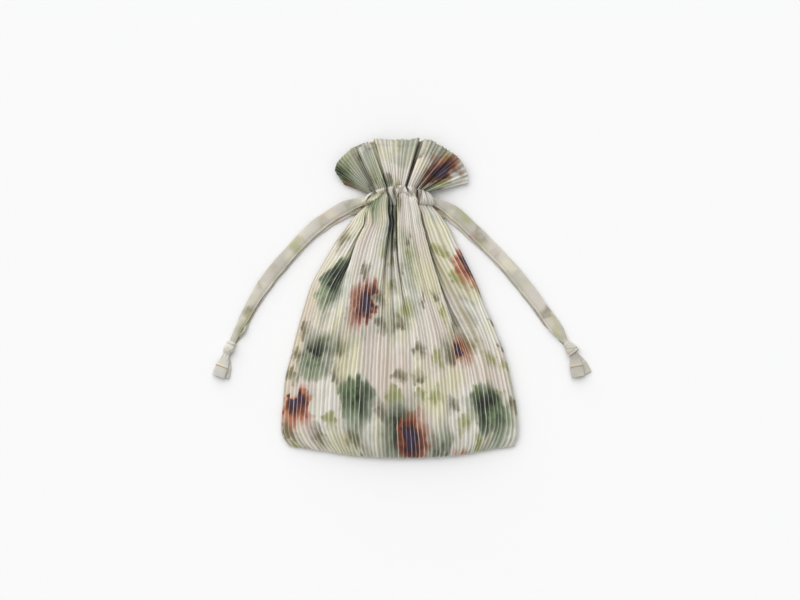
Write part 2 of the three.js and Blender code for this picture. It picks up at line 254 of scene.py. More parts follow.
# Share of the full width that a tie has at a distance from its knot
TieWidth = namedtuple("TieWidth", "to_knot share")
LEFT_WIDTHS = [
    TieWidth(0.0, 0.4),
    TieWidth(3.0, 0.44),
    TieWidth(17.0, 0.64),
    TieWidth(28.0, 0.73),
    TieWidth(39.0, 0.73),
    TieWidth(51.0, 0.86),
    TieWidth(67.0, 0.98),
    TieWidth(220.0, 1.0),
]
RIGHT_WIDTHS = [
    TieWidth(0.0, 0.32),
    TieWidth(3.0, 0.36),
    TieWidth(11.0, 0.66),
    TieWidth(21.0, 0.92),
    TieWidth(35.0, 0.9),
    TieWidth(63.0, 0.96),
    TieWidth(220.0, 1.0),
]

# The two strands of each tie: their heights at the casing and at rest, their share of the width at the
# casing, how far they show past the front strand there and further on, how far they bow out and narrow at
# the slit above the knot, their crown, and the seed of their unevenness
Strand = namedtuple("Strand", "side layer exit rest start near far bow narrow crown seed")
STRANDS = [
    Strand("left", "front", 5.4, 2.85, 0.56, 0.0, 0.0, -0.8, 0.2, 0.4, 0.4),
    Strand("left", "back", 2.6, 0.9, 1.1, 3.6, 1.6, 4.0, 0.66, 0.2, 2.0),
    Strand("right", "front", 5.4, 2.85, 0.56, 0.0, 0.0, 0.0, 0.0, 0.4, 0.4),
    Strand("right", "back", 2.6, 0.9, 1.1, 3.8, 1.6, -3.0, 0.1, 0.2, 2.0),
]

# Knots and tails, in sections along the tie
KnotRow = namedtuple("KnotRow", "along half tall")
LEFT_KNOT = [
    KnotRow(-7.2, 3.3, 4.8),
    KnotRow(-6.4, 4.3, 5.8),
    KnotRow(-5.3, 4.9, 7.0),
    KnotRow(-4.2, 4.5, 6.5),
    KnotRow(-1.0, 5.4, 7.8),
    KnotRow(3.0, 5.0, 7.4),
    KnotRow(5.5, 4.1, 5.8),
    KnotRow(7.0, 3.2, 4.6),
]
RIGHT_KNOT = [
    KnotRow(-7.2, 2.9, 4.8),
    KnotRow(-5.5, 3.6, 5.6),
    KnotRow(-1.0, 5.0, 6.8),
    KnotRow(3.2, 6.1, 7.4),
    KnotRow(4.5, 6.0, 7.1),
    KnotRow(5.6, 6.5, 7.8),
    KnotRow(6.4, 5.8, 6.8),
    KnotRow(7.0, 3.4, 4.6),
]
TailRow = namedtuple("TailRow", "along half thick")
TAIL_ROWS = [
    TailRow(-1.0, 2.6, 2.2),
    TailRow(3.0, 3.4, 2.0),
    TailRow(8.0, 5.1, 1.6),
    TailRow(12.6, 6.1, 1.6),
    TailRow(13.2, 6.5, 2.5),
    TailRow(19.0, 6.7, 2.4),
    TailRow(25.4, 6.5, 2.3),
]
TAIL_START = 5.5
FRONT_TAIL = 2.75
BACK_TAIL = 0.1

# The end of each pair: where its knot lies and how it is turned, how far the two tails swing from it, if
# its cloth is the paler one, and where its smudges start
End = namedtuple("End", "side at turn knot front back pale offset")
ENDS = [
    End("left", (-171.2, -50.0), 156.0, LEFT_KNOT, 4.0, 15.0, True, (0.0, 0.0, 0.0)),
    End("right", (170.4, -49.8), -142.0, RIGHT_KNOT, -27.0, -9.0, False, (4.4, 2.9, 0.0)),
]
LINING_OFFSET = (7.3, 1.1, 0.0)

# How the print falls on each piece: where it starts, how much green and rust it has, how pale the crests are
# painted, a painted highlight that is uneven like wear, how dark the painted shade in the hollows between
# them is, and the tone of the whole
ClothPrint = namedtuple("ClothPrint", "name offset green rust rubbed hollow tone")
POUCH_PRINT = ClothPrint("printed cloth", (5.3, 2.52, 0.0), 0.03, 0.3, 0.7, 0.66, 1.0)
CASING_PRINT = ClothPrint("casing cloth", (5.3, 2.52, 0.0), -0.45, 0.1, 0.4, 0.72, 0.96)
FRILL_PRINT = ClothPrint("frill cloth", (14.2, 1.1, 0.0), 0.16, 0.3, 0.28, 0.66, 0.88)

# Washes in the order that they are laid: the tint, where its noise starts and how fine it is, the part of the
# noise that it fades in over, and its strength
Wash = namedtuple("Wash", "tint offset scale low high strength")
GROUND_WASHES = [
    Wash("blush", (0.0, 0.0, 0.0), 1.6, 0.42, 0.6, 1.0),
    Wash("straw", (3.1, 1.7, 0.0), 2.6, 0.47, 0.64, 0.9),
]
GREEN_HAZE = Wash("sage", (7.3, 4.9, 0.0), 2.4, 0.54, 0.72, 0.65)
TIE_WASHES = [
    Wash("blush", (0.0, 0.0, 0.0), 3.2, 0.42, 0.6, 0.35),
    Wash("sage", (6.1, 3.3, 0.0), 3.6, 0.5, 0.72, 0.5),
    Wash("straw", (2.7, 5.1, 0.0), 5.0, 0.5, 0.68, 0.5),
    Wash("lime", (8.2, 1.3, 0.0), 5.5, 0.54, 0.72, 0.55),
    Wash("olive", (4.1, 9.3, 0.0), 6.5, 0.55, 0.72, 0.65),
    Wash("rust", (1.9, 7.7, 0.0), 4.2, 0.6, 0.76, 0.5),
]

# Scattered motifs and the spots that are painted in them, from the rim to the heart
Motif = namedtuple("Motif", "offset scale stretch")
FLECKS = Motif((0.3, 0.9, 0.0), 4.8, 1.3)
LEAVES = Motif((1.4, 2.2, 0.0), 2.15, 1.45)
BLOOMS = Motif((5.6, 0.35, 0.0), 1.75, 1.25)
FLECKS_CHOSEN = 0.55
LEAVES_CHOSEN = 0.42
Spot = namedtuple("Spot", "rim heart strength")
FLECK = Spot(0.52, 0.04, 0.85)
LEAF = Spot(0.72, 0.08, 0.95)
LEAF_HEART = Spot(0.5, 0.06, 0.97)
BLOOM = Spot(0.46, 0.18, 0.94)
BLOOM_HEART = Spot(0.28, 0.1, 0.95)
BLOOM_MIDDLE = Spot(0.13, 0.02, 0.7)

# Finishes: how far strips of the print slip, how the paint's edges wander, how dark the painted shade in
# folds is, how stained the plain cloths are, and the weave, the fuzz and the thread's twist
PLEAT_JOG = 0.07
SOFT_SWIRL = (7.0, 0.2)
TORN_SWIRL = (14.0, 0.1)
TIE_SWIRL = (8.0, 0.1)
FOLD_SHADE = 0.4
KNOT_STAIN = 0.4
TIE_STAIN = 1.0
LINING_STAIN = 1.5
WEAVE = 62.0
WEAVE_BUMP = (0.12, 0.0002)
FUZZ = 40.0
FUZZ_DEPTH = 0.08
TWIST = 900.0
TWIST_BUMP = (0.3, 0.0001)
PRINT_ROUGHNESS = 0.82
TIE_ROUGHNESS = 0.85
THREAD_SHADE = paint(160, 124, 70)


def colour_setting(name, description, *screen):
    """A colour in the sidebar, given as a screen colour."""
    return bpy.props.FloatVectorProperty(
        name=name, description=description, subtype="COLOR", default=paint(*screen)
    )


def length_setting(name, description, default):
    """A length in the sidebar, in metres."""
    return bpy.props.FloatProperty(name=name, description=description, default=default, unit="LENGTH")


class BagClothSettings(bpy.types.PropertyGroup):
    """Sizes and colours of the printed, pleated cloth."""

    pleats: bpy.props.IntProperty(
        name="Pleats", description="Pleats across each side of the bag", default=58, min=20, max=90
    )
    pleat_depth: length_setting("Pleat depth", "Height of a pleat's ridge", 0.0022)
    thickness: length_setting("Thickness", "Thickness of the cloth", 0.0004)
    ground: colour_setting("Ground", "Pale ground of the print", 229, 226, 216)
    blush: colour_setting("Blush", "Warm tint in the ground", 222, 211, 201)
    straw: colour_setting("Straw", "Yellow wash in the print", 221, 217, 184)
    sage: colour_setting("Sage", "Grey-green wash in the print", 149, 158, 130)
    leaf: colour_setting("Leaf", "Mid green of the patches", 101, 127, 80)
    moss: colour_setting("Moss", "Dark green hearts of the patches", 27, 31, 19)
    olive: colour_setting("Olive", "Small olive flecks", 104, 96, 58)
    lime: colour_setting("Lime", "Small yellow-green flecks", 150, 154, 82)
    rust: colour_setting("Rust", "Rust blooms", 158, 80, 38)
    ember: colour_setting("Ember", "Brighter blooms", 184, 96, 42)
    plum: colour_setting("Plum", "Dark hearts of the blooms", 48, 28, 38)
    violet: colour_setting("Violet", "Cool middle of a bloom's heart", 76, 57, 94)
    tan: colour_setting("Tan", "Tint that some pleats take on", 190, 170, 132)
    # Painted highlight along the pleats' crests, made uneven like wear
    ridge: colour_setting("Ridge", "Rubbed crest of a pleat", 240, 237, 230)
    side_thread: colour_setting("Side thread", "Thread of the frill's side seams", 140, 132, 110)


class BagTieSettings(bpy.types.PropertyGroup):
    """Sizes and colours of the ties."""

    width: length_setting("Width", "Width of a tie", 0.014)
    thickness: length_setting("Thickness", "Thickness of a folded tie", 0.0015)
    cloth: colour_setting("Cloth", "Plain ground of the ties", 181, 177, 167)
    ends: colour_setting("Ends", "Paler cloth of the knots and tails", 199, 197, 191)
    seam: colour_setting("Seam", "Thread of the ties' long seams", 176, 168, 138)
    thread: colour_setting("Thread", "Thread of the hems", 196, 156, 94)


class BagStageSettings(bpy.types.PropertyGroup):
    """Floor, light and camera."""

    floor: bpy.props.FloatVectorProperty(
        name="Floor", description="Colour of the floor", subtype="COLOR", default=(0.855, 0.855, 0.858)
    )
    height: length_setting("Camera height", "Height of the camera over the floor", 2.6)
    span: length_setting("Span", "Width of floor that the picture shows", 0.8)


# Curves and small helpers


def ease(share):
    clamped = np.clip(share, 0.0, 1.0)
    return clamped * clamped * (3.0 - 2.0 * clamped)


def mix(low, high, share):
    return low + (high - low) * share


def hump(offset, half):
    """A smooth hump of height 1, which is down to about a third at its half width."""
    return np.exp(-((offset / half) ** 2))


def columns(table):
    """A table's columns: an array for each of its fields."""
    return type(table[0])(*np.array(table, dtype=float).T)


def through(knots, values, places):
    """A smooth curve through a table: values has one column for each knot, and any number of rows."""
    values = np.atleast_2d(np.asarray(values, dtype=float))
    slopes = np.gradient(values, knots, axis=1)
    places = np.clip(places, knots[0], knots[-1])
    low = np.clip(np.searchsorted(knots, places, side="right") - 1, 0, len(knots) - 2)
    span = knots[low + 1] - knots[low]
    t = (places - knots[low]) / span
    start = values[:, low] * (2 * t**3 - 3 * t**2 + 1) + slopes[:, low] * span * (t**3 - 2 * t**2 + t)
    end = values[:, low + 1] * (3 * t**2 - 2 * t**3) + slopes[:, low + 1] * span * (t**3 - t**2)
    return start + end


def row_noise(place, along, seed):
    """A smooth wobble between -1 and 1 over the cloth, the same in each run."""
    total = 0.5 * np.sin(7.3 * math.pi * place + along / 17.0 + seed)
    total = total + 0.3 * np.sin(13.1 * math.pi * place - along / 11.0 + 2.1 * seed)
    return total + 0.2 * np.sin(23.7 * math.pi * place + along / 7.0 + 3.7 * seed)


# The pleated loop: the front from left to right, then the back again

PLEAT_PROFILE = [(0.0, 1.0), (0.16, 0.36), (0.5, 0.0), (0.84, 0.36)]
PLEAT_PITCH = 4.1
PLEAT_UNEVEN = 0.2
PLEAT_SEED = 11


class PleatedLoop:
    """Columns round the bag: their place across the cloth, their pleat's ridge, and their side."""

    def __init__(self, pleats):
        rng = np.random.default_rng(PLEAT_SEED)
        widths = 1.0 + PLEAT_UNEVEN * rng.uniform(-1.0, 1.0, pleats)
        edges = np.concatenate([[0.0], np.cumsum(widths)]) / widths.sum()
        crests = rng.uniform(0.8, 1.12, pleats + 1)
        shares, heights, counts = [], [], []
        for pleat in range(pleats):
            for share, height in PLEAT_PROFILE:
                shares.append(mix(edges[pleat], edges[pleat + 1], share))
                near = crests[pleat] if share < 0.5 else crests[pleat + 1]
                heights.append(height * near)
                counts.append(pleat + share)
        front = np.array(shares + [1.0]) * 2.0 - 1.0
        ridge = np.array(heights + [crests[-1]])
        count = np.array(counts + [float(pleats)])
        self.place = np.concatenate([front, front[-2:0:-1]])
        self.ridge = np.concatenate([ridge, ridge[-2:0:-1]])
        self.is_front = np.arange(len(self.place)) < len(front)
        self.cloth = np.concatenate([count, 2.0 * pleats - count[-2:0:-1], [2.0 * pleats]]) * PLEAT_PITCH


def round_loop(values):
    """Change of a value from column to column round a closed loop."""
    return np.roll(values, -1, axis=1) - np.roll(values, 1, axis=1)


def outward(run_across, run_z):
    """Outward directions of a loop of sections, across the bag and up."""
    length = np.maximum(np.hypot(run_across, run_z), 1e-9)
    return -run_z / length, run_across / length


def round_crown(across, height, edge):
    """Height of a crowned front that turns down to its edge at both sides."""
    drop = np.clip(1.0 - np.abs(np.clip(across, -1.0, 1.0)) ** 2.6, 0.0, 1.0) ** 0.75
    return edge + (height - edge) * drop


def flat_back(across, edge):
    """Height of the back: flat on the surface, with its sides turned up to the edge."""
    return edge * (1.0 - np.clip(1.0 - np.abs(np.clip(across, -1.0, 1.0)) ** 12, 0.0, 1.0) ** 0.6)


def folded_front(place, below):
    """Where each place of the front lies across the bag, how deep, and how far it rises at the neck."""
    folds = columns(FRONT_FOLDS)
    to_shoulder = ease(below / SHOULDER)
    opened = ease((below - SHOULDER) / (folds.release - SHOULDER))
    across = mix(mix(folds.neck, folds.shoulder, to_shoulder), folds.cloth, opened)
    depth = folds.depth * (1.0 - ease(below / folds.release))
    rise = folds.rise * (1.0 - to_shoulder)
    return [through(folds.cloth, part, place) for part in (across, depth, rise)]


# Pouch: the rows of its grid, close together at the neck and the base, then how far its cloth moves in
# millimetres: from side to side, in fine crimps, in dents, down under the casing and along the base. The
# last three shrink the pleats where the bag is narrow and inside a fold.
POUCH_ROWS = np.concatenate(
    [
        np.arange(BODY_ROWS[0].y, 60.0, -1.5),
        np.arange(60.0, -115.0, -3.2),
        np.linspace(-115.0, BODY_ROWS[-1].y, 22),
    ]
)
SWAY = 0.5
CRIMP = 0.24
DENT = 0.9
DENT_CROWN = 20.0
TUCK = 4.0
TUCK_RUN = 3.0
RIPPLE = 0.4
FINE_RIPPLE = 0.5
FULL_WIDTH = 238.0
TIGHTEST = 0.45
FOLD_LEAST = 0.15


def pouch_points(loop, pleat_depth):
    """Points of the pouch, a row for each section from the neck to the base edge."""
    base = BODY_ROWS[-1]
    body = columns(BODY_ROWS[::-1])
    leans = columns(BASE_LEANS)
    _, left, right, height, edge, sag, share = through(body.y, body, POUCH_ROWS)[:, :, None]
    y = POUCH_ROWS[:, None]
    place = loop.place[None, :]
    front = loop.is_front[None, :]

    across, depth, rise = folded_front(loop.place, NECK_Y - y)
    across = np.where(front, across, place)
    low = ease(1.0 - (y - base.y) / LEAN_REACH)
    lean = through(leans.cloth, leans.shift, loop.place)
    free = 1.0 - np.abs(place) ** 10
    crimp = np.sin(y / 2.1 + 31.0 * place) * row_noise(2.1 * place, 1.5 * y, 4.4)
    sway = (SWAY * row_noise(place, y, 0.7) + CRIMP * crimp) * free
    x = across * np.where(across < 0.0, left, right) + lean * low * free + sway
    x = np.where(front, x, x * mix(BACK_NARROW, 1.0, low))

    tuck = TUCK * ease((y - NECK_Y) / TUCK_RUN)
    dent = DENT * row_noise(0.35 * place, 0.4 * y, 2.3)
    crown = round_crown(across, height, edge)
    closing = np.clip((LIP_Y - y) / LIP_DEEP, 0.0, 1.0)
    shut = 1.0 - np.sqrt(1.0 - closing**2)
    top = crown - np.where(front, depth, 0.0) - tuck + dent * (1.0 - shut) * (crown - edge) / DENT_CROWN
    under = mix(flat_back(place, edge) + pleat_depth * share, round_crown(place, height, edge), shut)
    z = np.where(front, top, under)

    tight = np.clip((left + right) / FULL_WIDTH, TIGHTEST, 1.0) ** 0.6
    out_x, out_z = outward(round_loop(x), round_loop(z))
    free_of_fold = np.where(front, np.clip(1.0 - depth / FOLD_FLAT, FOLD_LEAST, 1.0), 1.0)
    push = pleat_depth * share * tight * free_of_fold * loop.ridge
    x = x + out_x * push
    z = np.maximum(z + out_z * push, np.where(front, FRONT_LEAST, LOWEST))
    ripple = RIPPLE * row_noise(1.7 * place, 0.0, 5.1) + FINE_RIPPLE * row_noise(5.3 * place, 0.0, 8.2)
    y = y - sag * (1.0 - place**2) + np.where(front, rise, 0.0) + ripple * low
    # Painted shade in the front's folds, fuller as a fold sinks deeper
    shade = np.where(front, np.clip(depth / FOLD_DARK, 0.0, 1.0), 0.0)
    return np.stack([x, y, z], axis=2), POUCH_ROWS - base.y + base.sag, shade


# Frill: its steps from the casing to the free edge, the stretch of cloth that its print is taken from, how
# far its pleats stray in degrees, how ragged and flared its edge is, the crown at its neck, the waves of
# its back, and its painted shade in the gathers and at the edge
FRILL_STEPS = np.concatenate(
    [np.linspace(-0.06, FRILL_HEM_AT, 22), np.linspace(FRILL_HEM_AT + FRILL_HEM_RUN, 1.0, 8)]
)
FRILL_CLOTH = (272.0, 52.0)
FRILL_STRAY = 0.9
FRILL_RAGGED = 0.4
FRILL_POINTED = 0.7
FRILL_FLARE = 1.2
FLARE_FROM = 0.7
CROWN_HALF = 32.5
CROWN_HEIGHT = 22.5
CROWN_EDGE = 4.0
UNDER_WAVE = (0.4, 1.6)
GATHER_SHADE = 0.6
SPREAD_SHADE = 0.7


def frill_points(loop, pleat_depth):
    """Points of the frill, a row for each step from the casing to the free edge."""
    table = columns(FRILL_FOLDS)
    fold = FrillFold(*through(table.cloth, table, loop.place))
    first, last = FRILL_FOLDS[0], FRILL_FOLDS[-1]
    front = loop.is_front[None, :]
    place = loop.place[None, :]
    across = (place + 1.0) / 2.0
    free = 1.0 - np.abs(place) ** 8
    stray = FRILL_STRAY * row_noise(2.3 * place, 0.0, 3.3) * free
    fan = np.radians(np.where(front, fold.fan + stray, mix(first.fan, last.fan, across)))
    rng = np.random.default_rng(PLEAT_SEED + 1)
    ragged = FRILL_RAGGED * rng.uniform(-1.0, 1.0, loop.place.shape) + FRILL_POINTED * loop.ridge
    reach = fold.reach + free * (ragged - np.where(front, 0.0, FRILL_BACK_SHORT))
    neck_x = np.where(front, fold.neck, mix(first.neck, last.neck, across))
    neck_y = FRILL_NECK_Y - FRILL_NECK_DROP * (neck_x / FRILL_NECK_HALF) ** 2

    spread = FRILL_STEPS[:, None]
    settle = ease(spread)
    x = mix(neck_x, FAN_X + reach * np.sin(fan), spread)
    y = mix(neck_y, FAN_Y + reach * np.cos(fan), spread)
    flare = FRILL_FLARE * ease((spread - FLARE_FROM) / (1.0 - FLARE_FROM)) * row_noise(1.3 * place, 0.0, 1.9)
    crown = round_crown(neck_x / CROWN_HALF, CROWN_HEIGHT, CROWN_EDGE)
    top = mix(crown - fold.sink, fold.lift + flare, settle)
    wave = mix(*UNDER_WAVE, settle) * (1.0 + np.sin(9.0 * place + 0.8))
    under = flat_back(place, CROWN_EDGE) + pleat_depth + wave
    aside = np.degrees(np.abs(fan[0][:, None] - fan[0][loop.is_front]))
    lowest = (top[:, None, loop.is_front] + FRILL_BACK_RISE * aside).min(axis=2)
    under = np.minimum(under, lowest - FRILL_GAP * (1.0 - np.abs(place) ** 24))
    z = np.where(front, top, under)

    tight = mix(0.4, 0.7, ease(spread * 1.4)) * mix(0.25, 1.0, free)
    lean = fan * np.clip(spread, 0.0, 1.0)
    run_across = round_loop(x) * np.cos(lean) - round_loop(y) * np.sin(lean)
    out_s, out_z = outward(run_across, round_loop(z))
    hem = FRILL_HEM_STEP * ease((spread - FRILL_HEM_AT) / FRILL_HEM_RUN)
    push = pleat_depth * tight * loop.ridge + hem
    x = x + out_s * push * np.cos(lean)
    y = y - out_s * push * np.sin(lean)
    z = np.maximum(z + out_z * push, np.where(front, FRONT_LEAST, LOWEST))
    # Painted shade in the frill's recesses, fading towards the free edge, and in thin lines between the
    # pleats near the gathers
    gather = (1.0 - settle) * np.clip(1.0 - loop.ridge / 0.5, 0.0, 1.0)
    shade = fold.shade * mix(1.0, SPREAD_SHADE, settle) + GATHER_SHADE * gather
    shade = np.where(front, np.clip(shade, 0.0, 1.0), 0.0)
    return np.stack([x, y, z], axis=2), mix(FRILL_CLOTH[0], sum(FRILL_CLOTH), FRILL_STEPS), shade


# Casing: its rows, the stretch of cloth that its print is taken from, how deep and wide its two seams are,
# and how far its sides stand out
CASING_ROWS = 24
CASING_CLOTH = (253.0, 19.0)
CASING_SEAM = 1.1
CASING_SEAM_HALF = 0.07
CASING_SIDE = 4.0
CASING_HALF = 32.0


def casing_points(pouch_neck, frill_neck):
    """Points of the casing: the pleats run on from the pouch to the frill, over puffs between two seams."""
    along = np.linspace(0.0, 1.0, CASING_ROWS)[:, None]
    x = mix(pouch_neck[:, 0], frill_neck[:, 0], ease(along))
    y = mix(pouch_neck[:, 1], frill_neck[:, 1], along)
    z = mix(pouch_neck[:, 2], frill_neck[:, 2], along)
    puffed = np.zeros_like(x)
    for puff in PUFFS:
        share = np.clip((y - puff.low_y) / (puff.high_y - puff.low_y), -0.1, 1.1)
        off = (x - mix(puff.low_x, puff.high_x, share)) / mix(puff.low_half, puff.high_half, share)
        dome = np.clip(1.0 - off**2, 0.0, 1.0) ** 0.75
        puffed = np.maximum(puffed, puff.height * dome)
    swell = np.sin(math.pi * along) ** 0.6
    seams = CASING_SEAM * (hump(along, CASING_SEAM_HALF) + hump(1.0 - along, CASING_SEAM_HALF))
    z = z + ease((z - 3.0) / 5.0) * (swell * puffed - seams)
    low_swell = np.sin(math.pi * along**0.7) ** 0.6
    x = x + CASING_SIDE * low_swell * np.sign(x) * (np.abs(x) / CASING_HALF) ** 3
    run = mix(CASING_CLOTH[0], sum(CASING_CLOTH), along[:, 0])
    return np.stack([x, y, np.maximum(z, LOWEST)], axis=2), run


# Meshes


def new_piece(name, mesh, material):
    piece = bpy.data.objects.new(name, mesh)
    bpy.context.scene.collection.objects.link(piece)
    mesh.materials.append(material)
    mesh.shade_smooth()
    return piece


def finished_mesh(name, bm):
    mesh = bpy.data.meshes.new(name)
    bm.to_mesh(mesh)
    bm.free()
    return mesh


def wrapped_grid(name, points, cloth, run, ridge, shade=None, weld_base=False, cap=False):
    """A grid bent round into a loop: points in millimetres, and the cloth's own places as its UV map."""
    rows, columns_round = points.shape[:2]
    ridge = np.broadcast_to(ridge, (rows, columns_round))
    bm = bmesh.new()
    bmesh.ops.create_grid(bm, x_segments=columns_round, y_segments=rows - 1, size=0.5)
    ridge_layer = bm.verts.layers.float.new("ridge")
    shade_layer = bm.verts.layers.float.new("shade")
    uv_layer = bm.loops.layers.uv.new("cloth")
    uv_of = {}
    seam = []
    for vert in bm.verts:
        row = round((0.5 - vert.co.y) * (rows - 1))
        place = round((vert.co.x + 0.5) * columns_round)
        spot = (row, place % columns_round)
        uv_of[vert] = (cloth[place] / CLOTH_UNIT, run[row] / CLOTH_UNIT)
        vert.co = points[spot] * MM
        vert[ridge_layer] = ridge[spot]
        if shade is not None:
            vert[shade_layer] = shade[spot]
        if place in (0, columns_round) or (weld_base and row == rows - 1):
            seam.append(vert)
    for face in bm.faces:
        for corner in face.loops:
            corner[uv_layer].uv = uv_of[corner.vert]
    bmesh.ops.remove_doubles(bm, verts=seam, dist=WELD)
    if cap:
        bmesh.ops.holes_fill(bm, edges=[edge for edge in bm.edges if edge.is_boundary], sides=0)
    bmesh.ops.recalc_face_normals(bm, faces=bm.faces)
    middle = Vector(points.mean(axis=(0, 1)) * MM)
    facing = [(face.calc_center_median() - middle).dot(face.normal) * face.calc_area() for face in bm.faces]
    if sum(facing) < 0.0:
        bmesh.ops.reverse_faces(bm, faces=bm.faces)
    return finished_mesh(name, bm)


def thicken(piece, thickness):
    wall = piece.modifiers.new("cloth wall", "SOLIDIFY")
    wall.thickness = thickness
    wall.offset = -1.0
    wall.use_even_offset = False


def settle_piece(piece, slot, *nodes):
    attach(piece, "root")
    if nodes:
        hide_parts(*nodes)


# Materials


def add(tree, kind, inputs=None, **settings):
    """A node with its settings, whose inputs are linked from sockets or set to values."""
    node = tree.nodes.new(kind)
    for name, value in settings.items():
        setattr(node, name, value)
    for name, value in (inputs or {}).items():
        if isinstance(value, bpy.types.NodeSocket):
            tree.links.new(value, node.inputs[name])
        else:
            node.inputs[name].default_value = value
    return node


def blend_colour(tree, share, low, high, mode="MIX"):
    node = add(tree, "ShaderNodeMix", data_type="RGBA", blend_type=mode)
    for index, value in ((0, share), (6, low), (7, high)):
        if isinstance(value, bpy.types.NodeSocket):
            tree.links.new(value, node.inputs[index])
        elif index == 0:
            node.inputs[index].default_value = value
        else:
            node.inputs[index].default_value = (*value, 1.0)
    return node.outputs[2]


def ramp(tree, value, low, high, to_low=0.0, to_high=1.0):
    limits = {"Value": value, "From Min": low, "From Max": high, "To Min": to_low, "To Max": to_high}
    return add(tree, "ShaderNodeMapRange", limits, interpolation_type="SMOOTHSTEP").outputs["Result"]


def maths(tree, operation, first, second=0.0):
    return add(tree, "ShaderNodeMath", {0: first, 1: second}, operation=operation).outputs[0]


def vector_maths(tree, operation, first, second):
    return add(tree, "ShaderNodeVectorMath", {0: first, 1: second}, operation=operation).outputs["Vector"]


def shifted(tree, vector, offset, scale):
    return add(
        tree, "ShaderNodeMapping", {"Vector": vector, "Location": offset, "Scale": scale}
    ).outputs["Vector"]


def motifs(tree, vector, motif):
    """Scattered motifs, one to a cell: the distance from each one's middle, its lot and its tone."""
    place = shifted(tree, vector, motif.offset, (motif.scale, motif.scale / motif.stretch, 1.0))
    cells, neighbours = [
        add(
            tree,
            "ShaderNodeTexVoronoi",
            {"Vector": place, "Scale": 1.0, "Randomness": 0.9, "Exponent": 2.6},
            voronoi_dimensions="2D",
            distance="MINKOWSKI",
            feature=feature,
        )
        for feature in ("F1", "F2")
    ]
    room = maths(tree, "SUBTRACT", neighbours.outputs["Distance"], cells.outputs["Distance"])
    distance = maths(tree, "ADD", cells.outputs["Distance"], ramp(tree, room, 0.0, 0.3, 0.4, 0.0))
    lots = add(tree, "ShaderNodeSeparateColor", {"Color": cells.outputs["Color"]})
    return distance, lots.outputs["Red"], lots.outputs["Green"]


def spots(tree, distance, lot, chosen, spot):
    """A share that fades from a motif's heart to its rim, for the share of motifs that is chosen."""
    near = ramp(tree, distance, spot.rim, spot.heart, 0.0, spot.strength)
    return maths(tree, "MULTIPLY", near, maths(tree, "LESS_THAN", lot, chosen))


def swirled(tree, vector, scale, amount):
    """Coordinates that wander, so that painted edges aren't straight."""
    noise = add(tree, "ShaderNodeTexNoise", {"Vector": vector, "Scale": scale, "Detail": 3.0})
    even = vector_maths(tree, "SUBTRACT", noise.outputs["Color"], (0.5, 0.5, 0.5))
    return vector_maths(tree, "ADD", vector, vector_maths(tree, "MULTIPLY", even, (amount, amount, amount)))


def noise_at(tree, vector, offset, scale, detail=2.0):
    place = shifted(tree, vector, offset, (1.0, 0.62, 1.0))
    return add(tree, "ShaderNodeTexNoise", {"Vector": place, "Scale": scale, "Detail": detail}).outputs["Fac"]


def washed(tree, colour, cloth, vector, wash, strength=1.0, more=0.0):
    """A colour with a soft wash of another over it, more of it where that is asked."""
    noise = noise_at(tree, vector, wash.offset, wash.scale)
    share = ramp(tree, noise, wash.low - more, wash.high - more, 0.0, wash.strength * strength)
    return blend_colour(tree, share, colour, getattr(cloth, wash.tint))


def pleat_chance(tree, uv, seed):
    """A number from 0 to 1 for each pleat."""
    across = add(tree, "ShaderNodeSeparateXYZ", {"Vector": uv}).outputs["X"]
    pleat = maths(tree, "FLOOR", maths(tree, "MULTIPLY", across, CLOTH_UNIT / PLEAT_PITCH))
    return add(
        tree, "ShaderNodeTexWhiteNoise", {"W": maths(tree, "ADD", pleat, seed)}, noise_dimensions="1D"
    ).outputs["Value"]


def combed_cloth(tree, uv, jog):
    """Cloth coordinates in which each pleat's strip has slipped a little along its length."""
    parts = add(tree, "ShaderNodeSeparateXYZ", {"Vector": uv})
    slip = maths(tree, "MULTIPLY", maths(tree, "SUBTRACT", pleat_chance(tree, uv, 0.0), 0.5), jog)
    along = maths(tree, "ADD", parts.outputs["Y"], slip)
    return add(tree, "ShaderNodeCombineXYZ", {"X": parts.outputs["X"], "Y": along}).outputs["Vector"]


def new_material(name):
    """A material with an empty tree of nodes."""
    material = bpy.data.materials.new(name)
    material.use_nodes = True
    material.node_tree.nodes.clear()
    return material, material.node_tree


